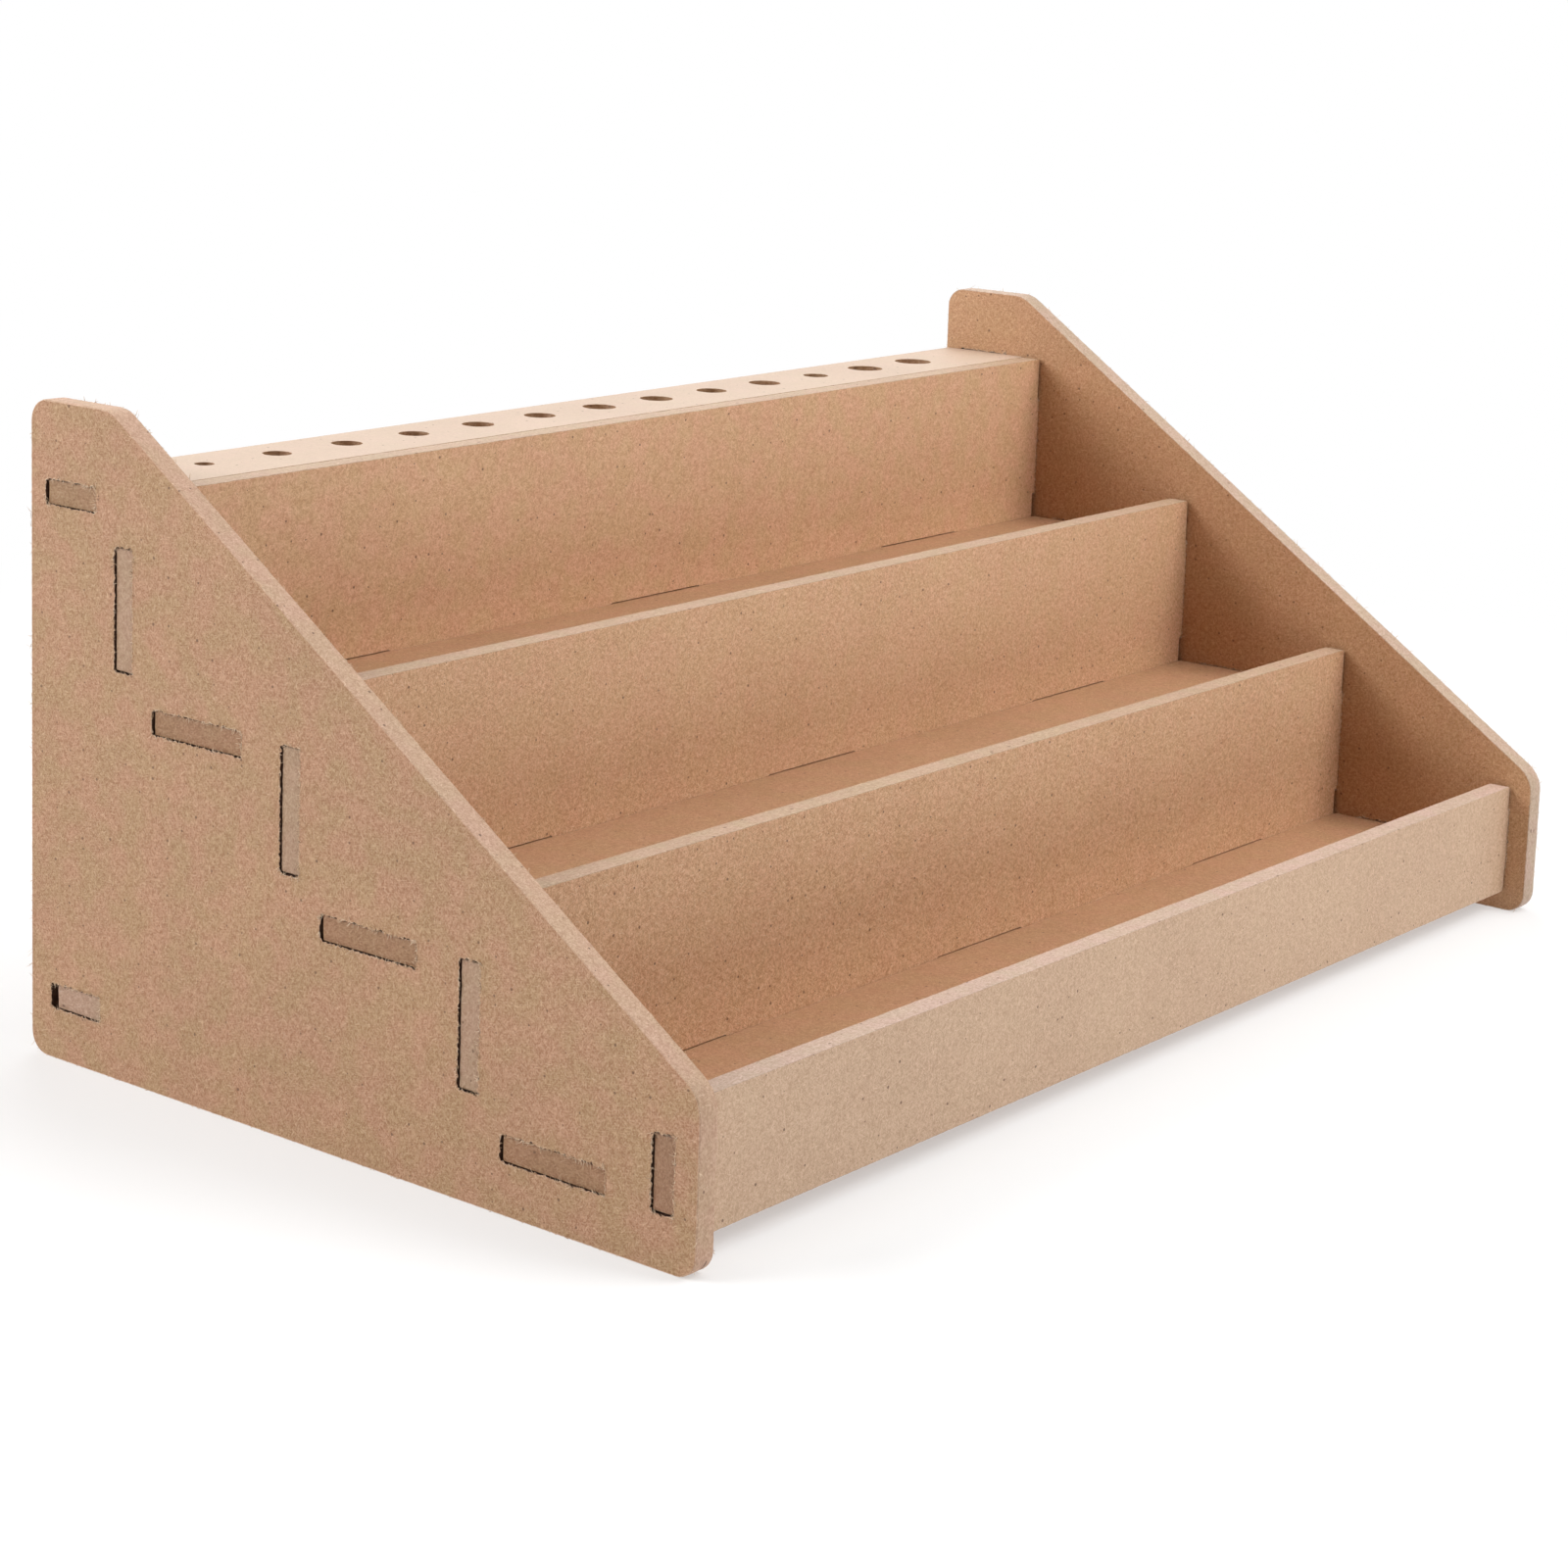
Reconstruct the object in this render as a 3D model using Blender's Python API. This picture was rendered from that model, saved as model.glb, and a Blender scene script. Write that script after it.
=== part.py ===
"""Tiered paint rack with a brush shelf, cut from thin fibreboard and joined tab in slot.

Eleven flat boards make the rack. Two side panels carry everything. Between them sit three shelves, a
riser behind each shelf, a lip along the front, a drilled brush shelf on top and a crossbar low at the
back, for brush handles to stand on. Every cross board has a tab at each end, which fills a slot in a
side panel. Each riser also drops over short fingers on the back edge of its shelf. There are no
fasteners and no moving parts.

Metres, +Z up. X runs along the rack and Y from its low front to its tall back. The origin is on the
floor, under the middle of the footprint.
"""

import math

import bmesh
import bpy
from mathutils import Matrix, Vector

MM = 0.001

# The whole rack
WIDTH = 310.0 * MM
DEPTH = 170.0 * MM
HEIGHT = 131.0 * MM
SHEET = 4.75 * MM                 # thickness of every board

# Side panel outline
FRONT_HEIGHT = 32.5 * MM          # where the slope meets the front edge
CREST_LENGTH = 22.8 * MM          # level stretch at the top, ahead of the back edge
CORNER_RADIUS = 4.5 * MM          # the three square corners
SLOPE_RADIUS = 7.0 * MM           # both ends of the slope

# Tiers, counted from the front
TIER_COUNT = 3
TIER_RUN = 45.35 * MM             # from one riser to the next one back
TIER_RISE = 30.25 * MM            # from one shelf to the next one up
FIRST_RISER_FRONT = 50.25 * MM    # behind the side panels' front edge
FIRST_SHELF_TOP = 14.7 * MM
RISER_REACH = 40.35 * MM          # top of a riser above its own shelf
LIP_FRONT = 5.25 * MM             # behind the side panels' front edge
LIP_BOTTOM = 4.5 * MM
LIP_TOP = 29.8 * MM

# Boards at the back
BACK_MARGIN = 1.1 * MM            # brush shelf and crossbar stop short of the panels' back edge
BRUSH_SHELF_TAB_MIDDLE = 158.4 * MM
CROSSBAR_TOP = 15.2 * MM
CROSSBAR_FRONT = 144.8 * MM
CROSSBAR_TAB_MIDDLE = 156.9 * MM
CROSSBAR_TAB_CUT = 1.2 * MM       # its tab stops this far short of the slot's back end

# Brush holes, from left to right
BRUSH_HOLE_LINE = 158.9 * MM      # behind the side panels' front edge
BRUSH_HOLE_PITCH = 20.0 * MM
BRUSH_HOLE_SIZES = (4.0, 6.0, 6.5, 6.5, 7.0, 7.0, 7.5, 7.5, 7.0, 7.5, 6.0, 8.5, 9.0)

# Joints
LONG_TAB = 24.0 * MM              # on the shelves and risers
SHORT_TAB = 14.0 * MM             # on the lip, brush shelf and crossbar
TAB_RADIUS = 0.5 * MM
TAB_RECESS = 0.3 * MM             # a tab's end lies this far inside the panel's outer face
SLOT_FRONT_RADIUS = 0.55 * MM
SLOT_BACK_RADIUS = 1.0 * MM
SLOT_FRONT_FIT = 0.12 * MM        # tabs sit towards the front of their slots
SLOT_BACK_FIT = 0.4 * MM
SLOT_END_FIT = 0.25 * MM          # clearance above and below a tab
BOARD_GAP = 0.3 * MM              # clearance where one board butts another
RISER_RELIEF = 0.8 * MM           # a riser's lower shoulder stands this far off the panel
FINGER_COUNT = 3
FINGER_LENGTH = 30.0 * MM
FINGER_FIT = 0.25 * MM            # clearance at each end of a finger
FINGER_HEADROOM = 0.12 * MM       # clearance between a finger and the notch over it

# Facets
ARC_STEP = math.radians(12.0)
HOLE_FACETS = 40
SHARP_ANGLE = math.radians(30.0)

INNER_WIDTH = WIDTH - 2 * SHEET
FRONT = -DEPTH / 2


def clear_scene():
    """Start from an empty scene."""
    for thing in list(bpy.data.objects):
        bpy.data.objects.remove(thing, do_unlink=True)


def board_material(name, colour, roughness):
    """One plain fibreboard finish."""
    material = bpy.data.materials.new(name)
    material.use_nodes = True
    shader = material.node_tree.nodes["Principled BSDF"]
    shader.inputs["Base Color"].default_value = (*colour, 1.0)
    shader.inputs["Roughness"].default_value = roughness
    shader.inputs["Metallic"].default_value = 0.0
    material.diffuse_color = (*colour, 1.0)
    return material


def filleted(corners):
    """Outline through (x, y, radius) corners, with an arc wherever the radius is not zero."""
    outline = []
    for index, (x, y, radius) in enumerate(corners):
        corner = Vector((x, y))
        if radius == 0.0:
            outline.append(corner)
            continue
        back = (Vector(corners[index - 1][:2]) - corner).normalized()
        ahead = (Vector(corners[(index + 1) % len(corners)][:2]) - corner).normalized()
        half_angle = back.angle(ahead) / 2
        centre = corner + (back + ahead).normalized() * radius / math.sin(half_angle)
        spoke = corner + back * radius / math.tan(half_angle) - centre
        turn = math.copysign(math.pi - 2 * half_angle, ahead.cross(back))
        steps = math.ceil(abs(turn) / ARC_STEP)
        for step in range(steps + 1):
            outline.append(centre + Matrix.Rotation(turn * step / steps, 2) @ spoke)
    return outline


def slot(x_low, x_high, y_low, y_high):
    """A rectangular cutout, rounder at its back, which is at x_high."""
    return filleted([
        (x_low, y_low, SLOT_FRONT_RADIUS),
        (x_high, y_low, SLOT_BACK_RADIUS),
        (x_high, y_high, SLOT_BACK_RADIUS),
        (x_low, y_high, SLOT_FRONT_RADIUS),
    ])


def circle(x, y, diameter):
    """A round cutout."""
    angles = [2 * math.pi * step / HOLE_FACETS for step in range(HOLE_FACETS)]
    return [Vector((x + diameter / 2 * math.cos(a), y + diameter / 2 * math.sin(a))) for a in angles]


def add_board(name, outline, cutouts, colour, roughness=0.8):
    """Cut one board from the sheet: flat in its own XY plane, from Z = 0 up to the thickness."""
    shape = bmesh.new()
    for loop in [outline, *cutouts]:
        points = [shape.verts.new((point.x, point.y, 0.0)) for point in loop]
        for here, after in zip(points, points[1:] + points[:1]):
            shape.edges.new((here, after))
    bmesh.ops.triangle_fill(shape, edges=shape.edges[:], use_beauty=True)
    raised = bmesh.ops.extrude_face_region(shape, geom=shape.faces[:])
    upper = [item for item in raised["geom"] if isinstance(item, bmesh.types.BMVert)]
    bmesh.ops.translate(shape, verts=upper, vec=(0.0, 0.0, SHEET))
    bmesh.ops.recalc_face_normals(shape, faces=shape.faces[:])
    mesh = bpy.data.meshes.new(name)
    shape.to_mesh(mesh)
    shape.free()
    mesh.shade_smooth()
    mesh.set_sharp_from_angle(angle=SHARP_ANGLE)
    mesh.materials.append(board_material(name + "_finish", colour, roughness))
    board = bpy.data.objects.new(name, mesh)
    bpy.context.scene.collection.objects.link(board)
    return board


def lay_flat(board, front, top):
    """Place a level board: its near edge at front, its upper face at top."""
    board.location = (0.0, FRONT + front, top - SHEET)


def stand_up(board, front, bottom):
    """Place an upright board across the rack: its front face at front, its lower edge at bottom."""
    board.rotation_euler = (math.radians(90.0), 0.0, 0.0)
    board.location = (0.0, FRONT + front + SHEET, bottom)


def stand_on_end(board, left):
    """Place an upright board that runs from front to back: its left face at left."""
    board.rotation_euler = (math.radians(90.0), 0.0, math.radians(90.0))
    board.location = (left, FRONT, 0.0)


def cross_board(width, tab_low, tab_high, near_edge=(), far_edge=(), near_inset=BOARD_GAP):
    """Outline of a board between the side panels, with a tab at each end.

    X runs along the rack and Y from the near edge, at 0, to the far edge, at width. near_edge and
    far_edge hold extra corners for those edges. near_inset is the near shoulders' distance from the
    side panels.
    """
    near_x = INNER_WIDTH / 2 - near_inset
    far_x = INNER_WIDTH / 2 - BOARD_GAP
    tab_x = WIDTH / 2 - TAB_RECESS
    right_end = [
        (near_x, 0.0, 0.0),
        (near_x, tab_low, 0.0),
        (tab_x, tab_low, TAB_RADIUS),
        (tab_x, tab_high, TAB_RADIUS),
        (far_x, tab_high, 0.0),
        (far_x, width, 0.0),
    ]
    left_end = [(-x, y, radius) for x, y, radius in reversed(right_end)]
    return filleted([*near_edge, *right_end, *far_edge, *left_end])


def finger_middles():
    """X of each finger joint between a shelf and its riser, from left to right."""
    spacing = INNER_WIDTH / FINGER_COUNT
    return [(index - (FINGER_COUNT - 1) / 2) * spacing for index in range(FINGER_COUNT)]


def riser_front(tier):
    """Front face of a tier's riser, behind the side panels' front edge."""
    return FIRST_RISER_FRONT + tier * TIER_RUN


def shelf_top(tier):
    """Upper face of a tier's shelf."""
    return FIRST_SHELF_TOP + tier * TIER_RISE


def shelf_front(tier):
    """Back face of whatever stands in front of a tier's shelf: the lip, or the riser below."""
    ahead = LIP_FRONT if tier == 0 else riser_front(tier - 1)
    return ahead + SHEET


def shelf_tab_middle(tier):
    """A shelf's tab is centred between the board ahead of it and the back of its own riser."""
    return (shelf_front(tier) + riser_front(tier) + SHEET) / 2


def riser_bottom(tier):
    """A riser reaches down to the underside of its shelf."""
    return shelf_top(tier) - SHEET


def riser_top(tier):
    """Upper edge of a tier's riser."""
    return shelf_top(tier) + RISER_REACH


def add_shelf(name, tier, colour):
    """One shelf, with fingers along its back edge that pass under its riser."""
    near = shelf_front(tier) + BOARD_GAP
    width = riser_front(tier) - BOARD_GAP - near
    tab_middle = shelf_tab_middle(tier) - near
    fingers = []
    for middle in reversed(finger_middles()):
        fingers += [
            (middle + FINGER_LENGTH / 2, width, 0.0),
            (middle + FINGER_LENGTH / 2, width + BOARD_GAP + SHEET, TAB_RADIUS),
            (middle - FINGER_LENGTH / 2, width + BOARD_GAP + SHEET, TAB_RADIUS),
            (middle - FINGER_LENGTH / 2, width, 0.0),
        ]
    outline = cross_board(width, tab_middle - LONG_TAB / 2, tab_middle + LONG_TAB / 2, far_edge=fingers)
    lay_flat(add_board(name, outline, [], colour), near, shelf_top(tier))


def add_riser(name, tier, colour):
    """One riser, notched along its lower edge for its shelf's fingers."""
    width = riser_top(tier) - riser_bottom(tier)
    half_notch = FINGER_LENGTH / 2 + FINGER_FIT
    notch_top = SHEET + FINGER_HEADROOM
    notches = []
    for middle in finger_middles():
        notches += [
            (middle - half_notch, 0.0, 0.0),
            (middle - half_notch, notch_top, 0.0),
            (middle + half_notch, notch_top, 0.0),
            (middle + half_notch, 0.0, 0.0),
        ]
    outline = cross_board(
        width,
        (width - LONG_TAB) / 2,
        (width + LONG_TAB) / 2,
        near_edge=notches,
        near_inset=RISER_RELIEF,
    )
    stand_up(add_board(name, outline, [], colour), riser_front(tier), riser_bottom(tier))


def add_front_lip(colour):
    """The board along the front that keeps bottles on the lowest shelf."""
    width = LIP_TOP - LIP_BOTTOM
    outline = cross_board(width, (width - SHORT_TAB) / 2, (width + SHORT_TAB) / 2)
    stand_up(add_board("front_lip", outline, [], colour), LIP_FRONT, LIP_BOTTOM)


def add_brush_shelf(colour):
    """The top board, level with the last riser's upper edge, with a row of holes for brushes."""
    near = shelf_front(TIER_COUNT) + BOARD_GAP
    width = DEPTH - BACK_MARGIN - near
    tab_middle = BRUSH_SHELF_TAB_MIDDLE - near
    outline = cross_board(width, tab_middle - SHORT_TAB / 2, tab_middle + SHORT_TAB / 2)
    middle_hole = (len(BRUSH_HOLE_SIZES) - 1) / 2
    holes = []
    for index, size in enumerate(BRUSH_HOLE_SIZES):
        x = (index - middle_hole) * BRUSH_HOLE_PITCH
        holes.append(circle(x, BRUSH_HOLE_LINE - near, size * MM))
    lay_flat(add_board("brush_shelf", outline, holes, colour), near, riser_top(TIER_COUNT - 1))


def add_rear_crossbar(colour):
    """The low board under the brush shelf, which ties the side panels together at the back."""
    width = DEPTH - BACK_MARGIN - CROSSBAR_FRONT
    tab_middle = CROSSBAR_TAB_MIDDLE - CROSSBAR_FRONT
    tab_high = tab_middle + SHORT_TAB / 2 - CROSSBAR_TAB_CUT
    outline = cross_board(width, tab_middle - SHORT_TAB / 2, tab_high)
    lay_flat(add_board("rear_crossbar", outline, [], colour), CROSSBAR_FRONT, CROSSBAR_TOP)


def level_slot(middle, top, length):
    """Slot in a side panel for a level board's tab."""
    near = middle - length / 2 - SLOT_FRONT_FIT
    far = middle + length / 2 + SLOT_BACK_FIT
    return slot(near, far, top - SHEET - SLOT_END_FIT, top + SLOT_END_FIT)


def upright_slot(front, middle, length):
    """Slot in a side panel for an upright board's tab."""
    reach = length / 2 + SLOT_END_FIT
    near = front - SLOT_FRONT_FIT
    far = front + SHEET + SLOT_BACK_FIT
    return slot(near, far, middle - reach, middle + reach)


def side_panel_slots():
    """All nine slots, in the panel's own plane: X from its front edge, Y up from the floor."""
    slots = [
        upright_slot(LIP_FRONT, (LIP_BOTTOM + LIP_TOP) / 2, SHORT_TAB),
        level_slot(BRUSH_SHELF_TAB_MIDDLE, riser_top(TIER_COUNT - 1), SHORT_TAB),
        level_slot(CROSSBAR_TAB_MIDDLE, CROSSBAR_TOP, SHORT_TAB),
    ]
    for tier in range(TIER_COUNT):
        slots.append(level_slot(shelf_tab_middle(tier), shelf_top(tier), LONG_TAB))
        riser_middle = (riser_bottom(tier) + riser_top(tier)) / 2
        slots.append(upright_slot(riser_front(tier), riser_middle, LONG_TAB))
    return slots


def add_side_panel(name, left, colour):
    """One sloping side panel, standing on its long lower edge."""
    outline = filleted([
        (0.0, 0.0, CORNER_RADIUS),
        (DEPTH, 0.0, CORNER_RADIUS),
        (DEPTH, HEIGHT, CORNER_RADIUS),
        (DEPTH - CREST_LENGTH, HEIGHT, SLOPE_RADIUS),
        (0.0, FRONT_HEIGHT, SLOPE_RADIUS),
    ])
    stand_on_end(add_board(name, outline, side_panel_slots(), colour), left)


def build_rack():
    """All eleven boards."""
    add_side_panel("side_panel_left", -WIDTH / 2, (0.52, 0.31, 0.18))
    add_side_panel("side_panel_right", WIDTH / 2 - SHEET, (0.46, 0.26, 0.15))
    add_front_lip((0.64, 0.44, 0.29))
    add_shelf("bottom_shelf", 0, (0.50, 0.31, 0.19))
    add_riser("lower_riser", 0, (0.56, 0.35, 0.21))
    add_shelf("middle_shelf", 1, (0.49, 0.30, 0.18))
    add_riser("middle_riser", 1, (0.55, 0.34, 0.20))
    add_shelf("upper_shelf", 2, (0.51, 0.32, 0.19))
    add_riser("upper_riser", 2, (0.57, 0.36, 0.22))
    add_brush_shelf((0.74, 0.56, 0.41))
    add_rear_crossbar((0.53, 0.33, 0.20))


clear_scene()
build_rack()
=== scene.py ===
"""Looks of the tiered paint rack: raw fibreboard, cut and slotted, in soft studio light.

Each board is rebuilt from its own outline in the frame. The outline is resampled finely, its
sharp corners are eased, and the arris that the cutter left is rounded and a little ragged. Broad
faces, cut edges and tab ends each get their own fibreboard finish. Short loose fibres stand along
the side panels' outlines and slots, where the cutter tore them up.

Metres, in the frame's axes: X along the rack, Y from front to back, +Z up.
"""

import math
import random

import bmesh
import bpy
from mathutils import Matrix, Vector, geometry, noise


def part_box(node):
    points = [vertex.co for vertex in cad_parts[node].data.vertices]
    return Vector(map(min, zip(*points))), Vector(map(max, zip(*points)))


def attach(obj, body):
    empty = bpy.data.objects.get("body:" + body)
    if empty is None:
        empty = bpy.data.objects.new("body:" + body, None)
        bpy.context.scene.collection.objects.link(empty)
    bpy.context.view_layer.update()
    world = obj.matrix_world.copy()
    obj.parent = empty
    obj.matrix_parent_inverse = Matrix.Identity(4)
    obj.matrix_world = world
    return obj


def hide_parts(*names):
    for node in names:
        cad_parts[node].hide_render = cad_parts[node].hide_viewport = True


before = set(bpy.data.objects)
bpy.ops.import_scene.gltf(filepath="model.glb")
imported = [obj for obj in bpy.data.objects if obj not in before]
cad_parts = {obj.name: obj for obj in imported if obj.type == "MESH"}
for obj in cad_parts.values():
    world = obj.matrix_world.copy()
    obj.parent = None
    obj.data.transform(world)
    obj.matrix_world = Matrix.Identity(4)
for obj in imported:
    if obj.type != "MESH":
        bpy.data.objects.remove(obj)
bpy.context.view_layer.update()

MM = 0.001

# Cut edges of every board
WELD = 0.001 * MM                 # points nearer than this are one point
FACING = 0.9                      # a face whose normal leans less than this is not a broad face
OUTER_EASE = 0.8 * MM             # radius on an outward corner of the outline
TAB_EASE = 0.2 * MM               # the same at a tab's end
INNER_EASE = 0.3 * MM             # radius on an inward corner
SHARP_TURN = math.radians(40.0)   # corners that turn more than this are eased
EASE_STEPS = 4
EDGE_STEP = 0.7 * MM              # spacing of points along an outline
SLOT_STEP = 0.3 * MM              # the same round a slot or a hole
SIDE_ARRIS = 0.22 * MM            # radius of the rounding between a side panel's face and outline
CROSS_ARRIS = 0.1 * MM            # the same on the boards between the panels
SLOT_ARRIS = 0.06 * MM            # the same round a slot or a hole
ARRIS_STEPS = 3
TORN_DEPTH = 0.25 * MM            # how deep below a face a slot's rim is torn
SHELF_GROWTH = 0.26 * MM          # how far a shelf's edges reach into the gaps round it
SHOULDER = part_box("side_panel_right")[0].x - SHELF_GROWTH   # tabs lie beyond this
TRIANGLES_INSIDE = 1              # kind of fill: only within the rings that are handed in

# Waves of the cut edges: their height, their length and their mean set-back, in heights
OUTLINE_RIPPLE = (0.06 * MM, 1.0 * MM, 1.0)
SLOT_RIPPLE = (0.45 * MM, 0.8 * MM, -0.2)      # at the rim of a side panel's slot
HOLE_RIPPLE = (0.1 * MM, 0.9 * MM, 0.0)        # at the rim of another board's hole
WAVE_ACROSS = 0.7                 # how fast the waves change across the board's thickness
WAVE_NOISE = (0.6, 2.1, 3)        # their fading, their step in size and their number of layers

# Places of two finishes among a board's materials, after that of its broad faces
EDGE, END = 1, 2                  # cut edges; tab ends and slots' walls, which on a side panel are painted dark as shade

# Loose fibres
FIBRE_STEPS = 4
FIBRE_RADIUS = 0.075 * MM
FIBRE_TAPER = 0.6                 # how much thinner a fibre gets towards its tip
FIBRE_CURL = 0.5                  # how far its tip curls, as a share of its length
FIBRE_INSET = 0.06 * MM           # how deep it is rooted
SLOT_FIBRES = (1.4, 1.3 * MM)     # fibres for each point of a loop, and the longest one's length
OUTLINE_FIBRES = (0.25, 1.4 * MM)

# Colours, as 0-255 display values
PALE_FIBRE = (232, 208, 180)
TORN_FIBRE = (206, 172, 138)
DARK_FIBRE = (96, 64, 44)
# Painted shade: a dark colour on a side panel's slot walls, standing for the shade deep in the
# narrow gaps round the tabs
SLOT_WALL_SHADE = (76, 49, 34)
SIDE_FACE = (167, 127, 93)
RIGHT_FACE = (182, 137, 98)
SIDE_EDGE = (191, 155, 128)
RIGHT_EDGE = (189, 161, 139)
LIP_FACE = (200, 167, 138)
LIP_EDGE = (190, 162, 143)
LIP_END = (145, 106, 78)
SHELF_FACE = (177, 134, 99)
SHELF_END = (147, 108, 76)
RISER_FACE = (207, 164, 127)
RISER_END = (162, 130, 104)
CROSS_EDGE = (182, 152, 125)
TOP_FACE = (199, 174, 153)
TOP_END = (149, 113, 80)
BAR_END = (166, 134, 110)

# Each board: its material slot in the record, a seed for its pattern, the colours of its faces, cut
# edges and tab ends (on a side panel, the painted shade of its slots' walls), how strong its
# mottling is and how many display steps deep its grain is
BOARDS = {
    "side_panel_left": ("side_board", 1, SIDE_FACE, SIDE_EDGE, SLOT_WALL_SHADE, 0.9, 25.0),
    "side_panel_right": ("side_board", 2, RIGHT_FACE, RIGHT_EDGE, SLOT_WALL_SHADE, 0.3, 22.0),
    "front_lip": ("lip_board", 3, LIP_FACE, LIP_EDGE, LIP_END, 0.1, 18.0),
    "bottom_shelf": ("shelf_board", 4, SHELF_FACE, CROSS_EDGE, SHELF_END, 0.5, 18.0),
    "lower_riser": ("riser_board", 5, RISER_FACE, CROSS_EDGE, RISER_END, 0.3, 26.0),
    "middle_shelf": ("shelf_board", 6, SHELF_FACE, CROSS_EDGE, SHELF_END, 0.5, 18.0),
    "middle_riser": ("riser_board", 7, RISER_FACE, CROSS_EDGE, RISER_END, 0.4, 25.0),
    "upper_shelf": ("shelf_board", 8, SHELF_FACE, CROSS_EDGE, SHELF_END, 0.5, 18.0),
    "upper_riser": ("riser_board", 9, RISER_FACE, CROSS_EDGE, RISER_END, 0.7, 20.0),
    "brush_shelf": ("top_board", 10, TOP_FACE, CROSS_EDGE, TOP_END, 0.2, 8.0),
    "rear_crossbar": ("shelf_board", 11, SHELF_FACE, CROSS_EDGE, BAR_END, 0.5, 18.0),
}


# ---------------------------------------------------------------- board geometry


def plane_axes(name):
    """Axis across a board's thickness, then the two axes of its plane, right-handed."""
    low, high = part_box(name)
    size = high - low
    across = min(range(3), key=lambda axis: size[axis])
    return across, (across + 1) % 3, (across + 2) % 3


def board_loops(name):
    """A board's outline and cutouts in its own plane, with the board on the left of each loop."""
    across, along, up = plane_axes(name)
    mesh = bmesh.new()
    mesh.from_mesh(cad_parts[name].data)
    bmesh.ops.remove_doubles(mesh, verts=mesh.verts[:], dist=WELD)
    mesh.normal_update()
    for face in mesh.faces:
        face.tag = face.normal[across] > FACING
    onward = {}
    for face in mesh.faces:
        for corner in face.loops:
            if face.tag and not all(other.tag for other in corner.edge.link_faces):
                onward[corner.vert] = corner.link_loop_next.vert
    loops = []
    while onward:
        start = next(iter(onward))
        here = onward.pop(start)
        loop = [start]
        while here is not start:
            loop.append(here)
            here = onward.pop(here)
        loops.append([Vector((vert.co[along], vert.co[up])) for vert in loop])
    mesh.free()
    return loops


def turn_at(loop, index):
    """Signed turn at a point: positive where the outline turns outward round the board."""
    before = loop[index] - loop[index - 1]
    after = loop[(index + 1) % len(loop)] - loop[index]
    return math.atan2(before.cross(after), before.dot(after))


def eased(loop, long_axis):
    """The loop with its sharp corners replaced by short arcs, shortest at the board's ends."""
    low_end = min(point[long_axis] for point in loop)
    high_end = max(point[long_axis] for point in loop)
    smooth = []
    for index, corner in enumerate(loop):
        turn = turn_at(loop, index)
        if abs(turn) < SHARP_TURN:
            smooth.append(corner)
            continue
        from_end = min(corner[long_axis] - low_end, high_end - corner[long_axis])
        radius = INNER_EASE if turn < 0 else TAB_EASE if from_end < WELD else OUTER_EASE
        back = (loop[index - 1] - corner).normalized()
        ahead = (loop[(index + 1) % len(loop)] - corner).normalized()
        half_angle = back.angle(ahead) / 2
        centre = corner + (back + ahead).normalized() * radius / math.sin(half_angle)
        spoke = corner + back * radius / math.tan(half_angle) - centre
        for step in range(EASE_STEPS + 1):
            smooth.append(centre + Matrix.Rotation(turn * step / EASE_STEPS, 2) @ spoke)
    return smooth


def resampled(loop, spacing):
    """The loop with long straight stretches cut into short ones."""
    points = []
    for index, point in enumerate(loop):
        after = loop[(index + 1) % len(loop)]
        pieces = max(1, round((after - point).length / spacing))
        points += [point.lerp(after, piece / pieces) for piece in range(pieces)]
    return points


def outward(loop, index):
    """Unit vector that points away from the board at one point of its loop."""
    before = (loop[index] - loop[index - 1]).normalized()
    after = (loop[(index + 1) % len(loop)] - loop[index]).normalized()
    ahead = (before + after).normalized()
    return Vector((ahead.y, -ahead.x))


def smooth_loops(name):
    """A board's outline and cutouts, eased and finely divided, the outline first."""
    long_axis = 1 if plane_axes(name)[2] == 0 else 0
    loops = [eased(loop, long_axis) for loop in board_loops(name)]
    outline = max(loops, key=lambda loop: max(point.length for point in loop))
    cutouts = [resampled(loop, SLOT_STEP) for loop in loops if loop is not outline]
    return [resampled(outline, EDGE_STEP), *cutouts]


def edge_profile(thickness, arris, torn):
    """Rings of points from the lower face round the cut edge to the upper.

    Each ring is its inset, its height and how much of the edge's waviness it takes. A torn cut is
    only wavy near the faces.
    """
    quarter = []
    for step in range(ARRIS_STEPS + 1):
        angle = math.radians(90.0) * step / ARRIS_STEPS
        quarter.append((arris * (1 - math.sin(angle)), arris * (1 - math.cos(angle)), 1.0))
    depth, share = (TORN_DEPTH, 0.0) if torn else (thickness / 3, 1.0)
    middle = [(0.0, depth, share), (0.0, thickness - depth, share)]
    upper = [(inset, thickness - height, share) for inset, height, share in reversed(quarter)]
    return quarter + middle + upper


def set_back(point, height, seed, ripple):
    """How far a wavy cut edge stands back from its true line at one point."""
    reach, length, mean = ripple
    place = Vector((point.x, point.y, height * WAVE_ACROSS)) / length
    wave = noise.fractal(place + Vector((seed, 0.0, 0.0)), *WAVE_NOISE)
    return reach * (mean + min(max(wave, -1.0), 1.0))


def frame_point(axes, x, y, z):
    """A point given in a board's own plane and across it, in the frame's axes."""
    across, along, up = axes
    point = Vector((0.0, 0.0, 0.0))
    point[across] = z
    point[along] = x
    point[up] = y
    return point


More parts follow.
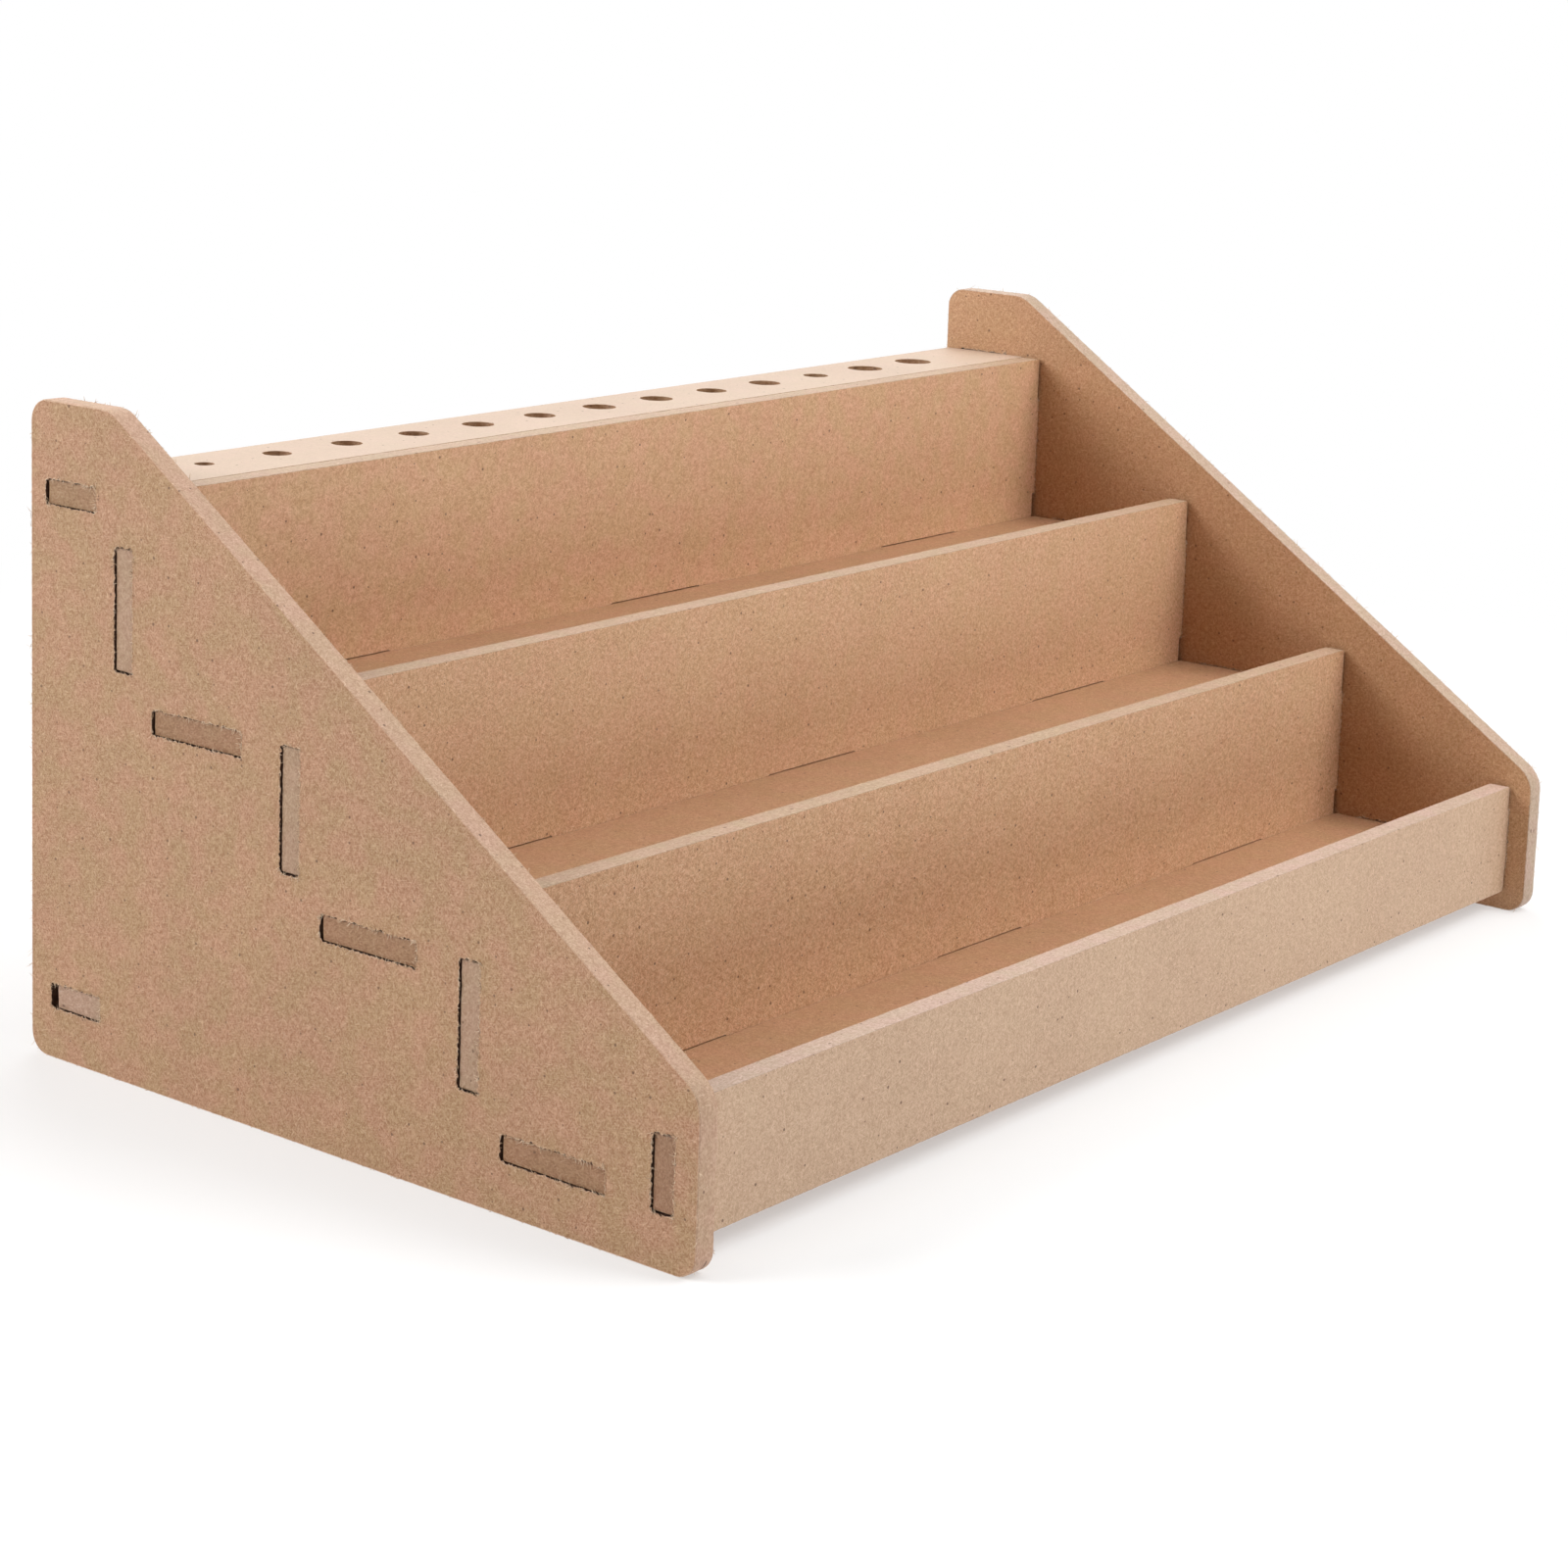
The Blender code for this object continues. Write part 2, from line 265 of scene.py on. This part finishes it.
def cut_edge(mesh, loop, axes, base, profile, ripple, growth, seed, wall):
    """Rings of points round one loop, joined by faces. Returns the first ring and the last.

    wall is the finish of the cut's middle. The roundings on both sides of it take that of an edge.
    """
    rings = []
    for inset, height, share in profile:
        ring = []
        for index, point in enumerate(loop):
            back = inset + share * set_back(point, height, seed, ripple)
            flat = frame_point(axes, point.x, point.y, base + height)
            if abs(flat.x) < SHOULDER:
                back -= growth
            out = outward(loop, index)
            ring.append(mesh.verts.new(flat - frame_point(axes, out.x, out.y, 0.0) * back))
        rings.append(ring)
    for level, (lower, higher) in enumerate(zip(rings, rings[1:])):
        is_wall = ARRIS_STEPS <= level < len(rings) - 1 - ARRIS_STEPS
        for index in range(len(loop)):
            after = (index + 1) % len(loop)
            face = mesh.faces.new((lower[index], lower[after], higher[after], higher[index]))
            face.material_index = wall if is_wall else EDGE
            face.smooth = True
    return rings[0], rings[-1]


def fill_face(mesh, rings, axes):
    """Triangles over a board's broad face: inside its first ring of points, outside the rest."""
    points = [vert for ring in rings for vert in ring]
    flat = [Vector((vert.co[axes[1]], vert.co[axes[2]])) for vert in points]
    regions, first = [], 0
    for ring in rings:
        regions.append(list(range(first, first + len(ring))))
        first += len(ring)
    regions[1:] = [region[::-1] for region in regions[1:]]
    filled = geometry.delaunay_2d_cdt(flat, [], regions, TRIANGLES_INSIDE, 0.0)
    _, _, triangles, sources, _, covered = filled
    for corners, covers in zip(triangles, covered):
        if list(covers) == [0]:
            mesh.faces.new([points[sources[corner][0]] for corner in corners])


def detailed_board(name, seed):
    """A board with eased, slightly ragged cut edges, in place of its CAD node."""
    axes = plane_axes(name)
    low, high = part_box(name)
    base = low[axes[0]]
    thickness = high[axes[0]] - base
    is_side = axes[0] == 0
    growth = SHELF_GROWTH if name.endswith("_shelf") else 0.0
    mesh = bmesh.new()
    outline, *cutouts = smooth_loops(name)
    profile = edge_profile(thickness, SIDE_ARRIS if is_side else CROSS_ARRIS, torn=False)
    ends = [cut_edge(mesh, outline, axes, base, profile, OUTLINE_RIPPLE, growth, seed, EDGE)]
    profile = edge_profile(thickness, SLOT_ARRIS, torn=True)
    ripple = SLOT_RIPPLE if is_side else HOLE_RIPPLE
    # On a side panel the slots' walls take the END finish, a dark painted shade
    ends += [cut_edge(mesh, loop, axes, base, profile, ripple, 0.0, seed, END) for loop in cutouts]
    for rings in zip(*ends):
        fill_face(mesh, rings, axes)
    bmesh.ops.recalc_face_normals(mesh, faces=mesh.faces[:])
    if not is_side:
        for face in mesh.faces:
            x = face.calc_center_median().x
            if face.material_index == EDGE and min(x - low.x, high.x - x) < TAB_EASE:
                face.material_index = END
    return finished_piece(name + "_board", mesh)


def finished_piece(name, mesh):
    """The mesh as an object that rides on the rack."""
    data = bpy.data.meshes.new(name)
    mesh.to_mesh(data)
    mesh.free()
    piece = bpy.data.objects.new(name, data)
    bpy.context.scene.collection.objects.link(piece)
    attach(piece, "root")
    return piece


# ---------------------------------------------------------------- loose fibres


def add_fibre(mesh, root, lean, bend, length, radius):
    """One thin tapering closed fibre that grows from root towards lean and curls towards bend."""
    side = lean.cross(bend).normalized()
    rings = []
    for step in range(FIBRE_STEPS):
        share = step / FIBRE_STEPS
        centre = root + lean * length * share + bend * length * FIBRE_CURL * share * share
        reach = radius * (1 - FIBRE_TAPER * share)
        ring = []
        for corner in range(3):
            angle = math.radians(120.0) * corner
            spoke = side * math.cos(angle) + bend * math.sin(angle)
            ring.append(mesh.verts.new(centre + spoke * reach))
        rings.append(ring)
    tip = mesh.verts.new(root + lean * length + bend * length * FIBRE_CURL)
    for lower, upper in zip(rings, rings[1:]):
        for corner in range(3):
            after = (corner + 1) % 3
            mesh.faces.new((lower[corner], lower[after], upper[after], upper[corner]))
    for corner in range(3):
        mesh.faces.new((rings[-1][corner], rings[-1][(corner + 1) % 3], tip))
    mesh.faces.new(rings[0])


def loose_fibres(name, seed):
    """Fibres that the cutter tore up along a side panel's outline and slots, as one piece."""
    chance = random.Random(seed)
    axes = plane_axes(name)
    low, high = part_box(name)
    faces = ((low[axes[0]], -1.0), (high[axes[0]], 1.0))
    outline, *slots = smooth_loops(name)
    mesh = bmesh.new()
    for loop in (outline, *slots):
        count, longest = OUTLINE_FIBRES if loop is outline else SLOT_FIBRES
        for level, facing in faces:
            for _ in range(round(count * len(loop))):
                index = chance.randrange(len(loop))
                out = outward(loop, index)
                run = Vector((-out.y, out.x))
                foot = loop[index] - out * FIBRE_INSET + run * chance.uniform(0.0, SLOT_STEP)
                root = frame_point(axes, foot.x, foot.y, level - facing * FIBRE_INSET)
                reach = out * chance.uniform(-0.4, 1.2) + run * chance.uniform(-1.2, 1.2)
                lift = facing * chance.uniform(0.1, 0.4)
                lean = frame_point(axes, reach.x, reach.y, lift).normalized()
                lift = facing * chance.uniform(-0.8, 0.8)
                curl = frame_point(axes, -reach.y, reach.x, lift)
                bend = (curl - lean * curl.dot(lean)).normalized()
                length = longest * chance.uniform(0.3, 1.0) ** 2
                add_fibre(mesh, root, lean, bend, length, FIBRE_RADIUS * chance.uniform(0.6, 1.2))
    bmesh.ops.recalc_face_normals(mesh, faces=mesh.faces[:])
    for face in mesh.faces:
        face.smooth = True
    return finished_piece(name + "_fibres", mesh)


# ---------------------------------------------------------------- materials

FELT_LENGTH = 1.2 * MM            # of the crossing fibres that make up a board's grain
FELT_NARROWING = 4.5              # how much longer than wide they are
FELT_TURNS = [math.radians(angle) for angle in (10.0, 55.0, 100.0, 145.0)]
STRAND_DEPTH = 3.0                # how far single fibres stand out, against the grain's depth
STRAND_BEND = 0.7                 # how strongly they bend
SHIFT_WEIGHTS = (0.85, 1.0, 1.05)   # pale fibres are a little less red than the board
HUE_SIZE = 6.5 * MM               # of the pink and olive blotches
CLOUD_SIZE = 26 * MM              # of the faint lighter and darker areas
CLOUD_RANGE = (0.485, 0.515)      # their overlay, where 0.5 changes nothing
FLECK_CELL = 4.0 * MM             # at most one dark fleck to a cell
FLECK_REACH = 0.075               # the largest one's radius, as a share of its cell
RELIEF = 0.05 * MM

# Single fibres: the size of their cells, length, width and share of the cells that hold one
LONG_STRANDS = (3.2 * MM, 0.75 * MM, 0.13 * MM, 0.5)
PALE_STRANDS = (1.0 * MM, 0.38 * MM, 0.12 * MM, 0.7)
DARK_STRANDS = (1.1 * MM, 0.38 * MM, 0.12 * MM, 0.7)

# The pattern on a cut edge runs along this slanting line in the board's plane, so that it changes
# along every edge
EDGE_RUN = (0.8, 0.6)
SEED_SHIFT = (0.37, 0.23, 0.31)   # how far one step of the seed moves a pattern


def linear(colour, shift=0.0):
    """A colour of 0-255 display values, made lighter by about shift of them, in linear light."""
    values = []
    for value, weight in zip(colour, SHIFT_WEIGHTS):
        share = min(max((value + shift * weight) / 255.0, 0.0), 1.0)
        values.append(share / 12.92 if share <= 0.04045 else ((share + 0.055) / 1.055) ** 2.4)
    return (*values, 1.0)


def put(tree, socket, value):
    """Links a socket to another, or sets its value."""
    if isinstance(value, bpy.types.NodeSocket):
        tree.links.new(value, socket)
    else:
        socket.default_value = value


def add(tree, kind, inputs, **settings):
    """A new node with its settings and its inputs."""
    node = tree.nodes.new(kind)
    for key, value in settings.items():
        setattr(node, key, value)
    for key, value in inputs.items():
        put(tree, node.inputs[key], value)
    return node


def maths(tree, operation, *values):
    """Numbers combined."""
    node = add(tree, "ShaderNodeMath", dict(enumerate(values)), operation=operation)
    return node.outputs["Value"]


def mix(tree, share, first, second, blend="MIX"):
    """One colour mixed with another. The node's sockets for colours have the higher numbers."""
    node = tree.nodes.new("ShaderNodeMix")
    node.data_type = "RGBA"
    node.blend_type = blend
    for index, value in ((0, share), (6, first), (7, second)):
        put(tree, node.inputs[index], value)
    return node.outputs[2]


def spread(tree, value, low, high, start=0.0, end=1.0):
    """value, stretched smoothly so that low becomes start and high becomes end."""
    inputs = {"Value": value, "From Min": low, "From Max": high, "To Min": start, "To Max": end}
    node = add(tree, "ShaderNodeMapRange", inputs, interpolation_type="SMOOTHSTEP")
    return node.outputs["Result"]


def noise_at(tree, place, size, detail=2.0, roughness=0.5):
    """A noise whose blotches are about size across."""
    inputs = {"Vector": place, "Scale": 1.0 / size, "Detail": detail, "Roughness": roughness}
    return add(tree, "ShaderNodeTexNoise", inputs).outputs["Fac"]


def board_place(tree, axes, seed, edge):
    """Coordinates in a board's own plane, or along and across its cut edge, shifted by the seed."""
    across, along, up = axes
    whole = tree.nodes.new("ShaderNodeTexCoord").outputs["Object"]
    parts = add(tree, "ShaderNodeSeparateXYZ", {"Vector": whole})
    x, y, z = (parts.outputs[axis] for axis in (along, up, across))
    if edge:
        major, minor = EDGE_RUN
        terms = maths(tree, "MULTIPLY", x, major), maths(tree, "MULTIPLY", y, minor)
        run = maths(tree, "ADD", *terms)
        terms = maths(tree, "MULTIPLY", x, minor), maths(tree, "MULTIPLY", y, major)
        x, y, z = run, z, maths(tree, "SUBTRACT", *terms)
    place = add(tree, "ShaderNodeCombineXYZ", {"X": x, "Y": y, "Z": z}).outputs["Vector"]
    offset = [seed * step for step in SEED_SHIFT]
    return add(tree, "ShaderNodeVectorMath", {0: place, 1: offset}).outputs["Vector"]


def cells_at(tree, place, size):
    """The outputs of a pattern of random cells about size across."""
    inputs = {"Vector": place, "Scale": 1.0 / size}
    return add(tree, "ShaderNodeTexVoronoi", inputs, voronoi_dimensions="2D").outputs


def strands(tree, place, cell, length, width, share):
    """Mask of single bent fibres that lie in every direction, at most one to a cell."""
    cells = cells_at(tree, place, cell)
    ends = {0: place, 1: cells["Position"]}
    local = add(tree, "ShaderNodeVectorMath", ends, operation="SUBTRACT")
    chance = add(tree, "ShaderNodeSeparateColor", {"Color": cells["Color"]}).outputs
    angle = maths(tree, "MULTIPLY", chance["Red"], 2 * math.pi)
    inputs = {"Vector": local.outputs["Vector"], "Angle": angle}
    turned = add(tree, "ShaderNodeVectorRotate", inputs, rotation_type="Z_AXIS").outputs["Vector"]
    parts = add(tree, "ShaderNodeSeparateXYZ", {"Vector": turned}).outputs
    bend = maths(tree, "SUBTRACT", chance["Green"], 0.5)
    curve = maths(tree, "MULTIPLY", bend, STRAND_BEND / length)
    sag = maths(tree, "MULTIPLY", curve, maths(tree, "MULTIPLY", parts["X"], parts["X"]))
    off_line = maths(tree, "ABSOLUTE", maths(tree, "SUBTRACT", parts["Y"], sag))
    along = spread(tree, maths(tree, "ABSOLUTE", parts["X"]), 0.5 * length, length, 1.0, 0.0)
    thin = spread(tree, off_line, 0.3 * width, width, 1.0, 0.0)
    chosen = maths(tree, "LESS_THAN", chance["Blue"], share)
    return maths(tree, "MULTIPLY", maths(tree, "MULTIPLY", along, thin), chosen)


def felt(tree, place):
    """Crossing fibres: a value round 0.5, higher along pale fibres and lower along dark ones."""
    layers = []
    for turn in FELT_TURNS:
        inputs = {"Vector": place, "Angle": turn}
        turned = add(tree, "ShaderNodeVectorRotate", inputs, rotation_type="Z_AXIS")
        inputs = {0: turned.outputs["Vector"], 1: (1.0, FELT_NARROWING, 1.0)}
        narrowed = add(tree, "ShaderNodeVectorMath", inputs, operation="MULTIPLY")
        layers.append(noise_at(tree, narrowed.outputs["Vector"], FELT_LENGTH, 2.0, 0.6))
    pale = maths(tree, "MAXIMUM", layers[0], layers[2])
    dark = maths(tree, "MINIMUM", layers[1], layers[3])
    return maths(tree, "MULTIPLY", maths(tree, "ADD", pale, dark), 0.5)


def tint(pinkness):
    """A tint towards pink, or towards olive where pinkness is negative."""
    return (1 + 0.035 * pinkness, 1 - 0.025 * pinkness, 1 + 0.04 * pinkness, 1.0)


def fibreboard(name, axes, seed, tone, mottle, grain, edge=False):
    """Raw fibreboard: soft pink and olive mottling, fine grain, single fibres and dark flecks.

    Grain and fibres lighten or darken all three display values nearly alike.
    """
    material = bpy.data.materials.new(name)
    material.use_nodes = True
    tree = material.node_tree
    shader = tree.nodes["Principled BSDF"]
    place = board_place(tree, axes, seed, edge)

    weave = felt(tree, place)
    colour = mix(tree, spread(tree, weave, 0.36, 0.64), linear(tone, -grain), linear(tone, grain))
    hue = spread(tree, noise_at(tree, place, HUE_SIZE, 1.0), 0.3, 0.7)
    colour = mix(tree, 1.0, colour, mix(tree, hue, tint(-mottle), tint(mottle)), "MULTIPLY")
    cloud = spread(tree, noise_at(tree, place, CLOUD_SIZE, 4.0, 0.6), 0.3, 0.7, *CLOUD_RANGE)
    colour = mix(tree, 1.0, colour, cloud, "OVERLAY")

    long_pale = strands(tree, place, *LONG_STRANDS)
    short_pale = strands(tree, place, *PALE_STRANDS)
    short_dark = strands(tree, place, *DARK_STRANDS)
    pale = maths(tree, "MAXIMUM", long_pale, maths(tree, "MULTIPLY", short_pale, 0.75))
    pale = maths(tree, "MULTIPLY", pale, 0.3)
    dark = maths(tree, "MULTIPLY", short_dark, 0.22)
    colour = mix(tree, pale, colour, linear(tone, STRAND_DEPTH * grain))
    colour = mix(tree, dark, colour, linear(tone, -STRAND_DEPTH * grain))

    cells = cells_at(tree, place, FLECK_CELL)
    size = add(tree, "ShaderNodeSeparateColor", {"Color": cells["Color"]}).outputs["Red"]
    reach = maths(tree, "MULTIPLY", maths(tree, "POWER", size, 3.0), FLECK_REACH)
    fleck = maths(tree, "LESS_THAN", cells["Distance"], reach)
    colour = mix(tree, maths(tree, "MULTIPLY", fleck, 0.75), colour, linear(DARK_FIBRE))

    put(tree, shader.inputs["Base Color"], colour)
    put(tree, shader.inputs["Roughness"], spread(tree, weave, 0.3, 0.7, 0.5, 0.72))
    height = maths(tree, "ADD", weave, maths(tree, "MULTIPLY", pale, 0.5))
    relief = add(tree, "ShaderNodeBump", {"Height": height, "Strength": 0.35, "Distance": RELIEF})
    put(tree, shader.inputs["Normal"], relief.outputs["Normal"])
    return material


def torn_fibre(name):
    """Pale torn fibres, a little darker here and there."""
    material = bpy.data.materials.new(name)
    material.use_nodes = True
    tree = material.node_tree
    shader = tree.nodes["Principled BSDF"]
    place = tree.nodes.new("ShaderNodeTexCoord").outputs["Object"]
    share = spread(tree, noise_at(tree, place, 2.0 * MM), 0.35, 0.65)
    put(tree, shader.inputs["Base Color"], mix(tree, share, linear(PALE_FIBRE), linear(TORN_FIBRE)))
    put(tree, shader.inputs["Roughness"], spread(tree, share, 0.0, 1.0, 0.6, 0.8))
    return material


# ---------------------------------------------------------------- the rack

for name, (slot, seed, face, edge, end, mottle, grain) in BOARDS.items():
    axes = plane_axes(name)
    board = detailed_board(name, seed)
    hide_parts(name)
    finishes = board.data.materials
    finishes.append(fibreboard(name + "_face", axes, seed, face, mottle, grain))
    finishes.append(fibreboard(name + "_edge", axes, seed + 20, edge, 0.5, 18.0, edge=True))
    # On a side panel this third finish is painted shade on the slots' walls, not the board's own
    # colour
    finishes.append(fibreboard(name + "_end", axes, seed + 40, end, 0.4, 18.0, edge=True))
    if slot == "side_board":
        fibres = loose_fibres(name, seed)
        fibres.data.materials.append(torn_fibre(name + "_fibre"))


# ---------------------------------------------------------------- studio

FLOOR_REACH = 120.0
FLOOR_FADE = (0.22, 0.5)                  # distances between which the floor turns plain white
FLOOR_GLOW = 0.45                         # how much of the floor near the rack is its own glow
CAMERA_PLACE = (-0.5930, -0.4337, 0.2312)
CAMERA_HEADING = math.radians(49.99)      # from +Y towards +X
CAMERA_PITCH = math.radians(-9.65)
CAMERA_ROLL = math.radians(1.576)
CAMERA_LENS = 80.8
CAMERA_SHIFT = (0.0977, -0.1922)
CAMERA_CLIP = (0.01, 200.0)
LIGHT_TARGET = (0.0, 0.0, 0.06)

# Each soft light: where it stands, how wide it is and its watts
SOFTBOXES = {
    "overhead": ((0.0, 0.0, 1.5), 1.2, 9.9),
    "back_left": ((-1.1, 0.9, 0.8), 1.0, 19.5),
    "back_right": ((1.0, 1.0, 0.9), 1.0, 8.1),
    "near_back_left": ((-0.6, 0.5, 0.45), 0.5, 1.1),
    "near_right": ((0.5, -0.3, 0.8), 0.5, 1.6),
    "near_front": ((0.2, -0.55, 0.6), 0.4, 3.9),
}


def add_floor():
    """A large pale sheet under the rack, plain white in the distance."""
    bpy.ops.mesh.primitive_plane_add(size=FLOOR_REACH)
    floor = bpy.context.object
    floor.name = "floor"
    material = bpy.data.materials.new("floor_paint")
    material.use_nodes = True
    tree = material.node_tree
    shader = tree.nodes["Principled BSDF"]
    shader.inputs["Base Color"].default_value = (0.93, 0.93, 0.93, 1.0)
    shader.inputs["Roughness"].default_value = 0.9
    place = tree.nodes.new("ShaderNodeTexCoord").outputs["Object"]
    distance = add(tree, "ShaderNodeVectorMath", {0: place}, operation="LENGTH").outputs["Value"]
    white = add(tree, "ShaderNodeEmission", {"Color": (1.0, 1.0, 1.0, 1.0), "Strength": 1.0})
    share = spread(tree, distance, *FLOOR_FADE, FLOOR_GLOW, 1.0)
    inputs = {0: share, 1: shader.outputs["BSDF"], 2: white.outputs["Emission"]}
    both = add(tree, "ShaderNodeMixShader", inputs)
    put(tree, tree.nodes["Material Output"].inputs["Surface"], both.outputs["Shader"])
    floor.data.materials.append(material)


def add_softbox(name, place, size, power):
    """A square soft light that looks at the rack."""
    light = bpy.data.lights.new(name, "AREA")
    light.shape = "SQUARE"
    light.size = size
    light.energy = power
    box = bpy.data.objects.new(name, light)
    box.location = place
    heading = Vector(LIGHT_TARGET) - Vector(place)
    box.rotation_euler = heading.to_track_quat("-Z", "Y").to_euler()
    box.visible_camera = False
    bpy.context.scene.collection.objects.link(box)


def add_backdrop():
    """A white that is only seen, and gives no light."""
    world = bpy.data.worlds.new("studio")
    world.use_nodes = True
    background = world.node_tree.nodes["Background"]
    background.inputs["Color"].default_value = (1.0, 1.0, 1.0, 1.0)
    background.inputs["Strength"].default_value = 1.0
    world.cycles_visibility.diffuse = False
    world.cycles_visibility.glossy = False
    world.cycles_visibility.transmission = False
    world.cycles_visibility.scatter = False
    bpy.context.scene.world = world


def add_camera():
    """The camera at the photograph's angle: heading first, then pitch, then roll."""
    data = bpy.data.cameras.new("camera")
    data.lens = CAMERA_LENS
    data.shift_x, data.shift_y = CAMERA_SHIFT
    data.clip_start, data.clip_end = CAMERA_CLIP
    camera = bpy.data.objects.new("camera", data)
    heading = Matrix.Rotation(-CAMERA_HEADING, 4, "Z")
    pitch = Matrix.Rotation(math.radians(90.0) + CAMERA_PITCH, 4, "X")
    roll = Matrix.Rotation(CAMERA_ROLL, 4, "Z")
    camera.matrix_world = Matrix.Translation(CAMERA_PLACE) @ heading @ pitch @ roll
    bpy.context.scene.collection.objects.link(camera)
    bpy.context.scene.camera = camera


add_floor()
add_backdrop()
for name, (place, size, power) in SOFTBOXES.items():
    add_softbox(name, place, size, power)
add_camera()
bpy.context.scene.view_settings.view_transform = "Standard"
